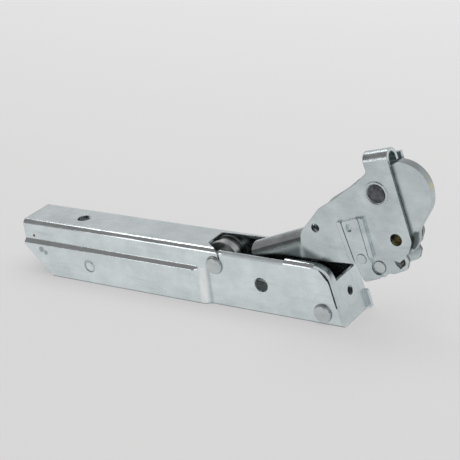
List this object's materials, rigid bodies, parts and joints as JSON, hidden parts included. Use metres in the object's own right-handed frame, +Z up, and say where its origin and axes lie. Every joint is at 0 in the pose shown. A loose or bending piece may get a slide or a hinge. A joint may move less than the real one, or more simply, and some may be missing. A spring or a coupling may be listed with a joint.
{
  "type": "oven door hinge",
  "caption": "Folded-channel oven door hinge with a spring-loaded gooseneck arm, hook plate and guide roller, standing on its channel's edges.",
  "frame": {"origin": "under the middle of the whole part, on the plane of the channel's lower edges", "axes": "+X along the channel towards the hook, +Y across the channel, +Z up"},
  "size_m": [0.2234, 0.0256, 0.0825],
  "materials": {
    "zinc_sheet": "bright zinc plate, satin with faint spangle",
    "zinc_part": "bright zinc plate on rivets, rod and links",
    "dark_pin": "dark phosphated pin",
    "yellow_zinc": "yellow passivated zinc",
    "spring_steel": "oiled spring steel"
  },
  "bodies": {
    "housing": {"housing": "zinc_sheet", "end_plate": "zinc_sheet", "pivot_rivet": "zinc_part", "roller_axle": "zinc_part", "pivot_spacers": "zinc_part", "axle_spacers": "zinc_part", "spring_abutment": "zinc_sheet", "main_spring": "spring_steel"},
    "arm": {"arm_bracket": "zinc_sheet", "hook_plate": "zinc_sheet", "hook_spacers": "zinc_part", "hook_pin": "dark_pin", "foot_rivet": "zinc_part", "strap_rivet": "zinc_part", "yellow_sleeve": "yellow_zinc", "strap": "zinc_sheet", "draw_pin": "zinc_part"},
    "rod": {"tie_rod": "zinc_part", "spring_cup": "zinc_part", "lock_nuts": "zinc_part", "link_pin": "zinc_part"},
    "link": {"draw_link": "zinc_part"},
    "roller": {"guide_roller": "yellow_zinc"}
  },
  "joints": [
    {"name": "arm_swing", "type": "hinge", "parent": "housing", "child": "arm", "pos_m": [0.0586, 0, 0.0053], "axis": [0, 1, 0], "range_deg": [-20, 53]},
    {"name": "rod_slide", "type": "slide", "parent": "housing", "child": "rod", "axis": [1, 0, 0], "range_m": [-0.0031, 0.008], "deforming": ["main_spring"]},
    {"name": "link_swing", "type": "hinge", "parent": "rod", "child": "link", "pos_m": [0.0153, 0, 0.0094], "axis": [0, 1, 0], "range_deg": [-11.5, 4.5]},
    {"name": "roller_turn", "type": "hinge", "parent": "housing", "child": "roller", "pos_m": [0.0033, 0, 0.0202], "axis": [0, 1, 0], "range_deg": [-57, 22]}
  ],
  "couplings": [
    {"joint": "rod_slide", "follows": "arm_swing", "m_per_rad": 0.0085},
    {"joint": "link_swing", "follows": "arm_swing", "ratio": -0.207},
    {"joint": "roller_turn", "follows": "arm_swing", "ratio": -1.0625}
  ]
}
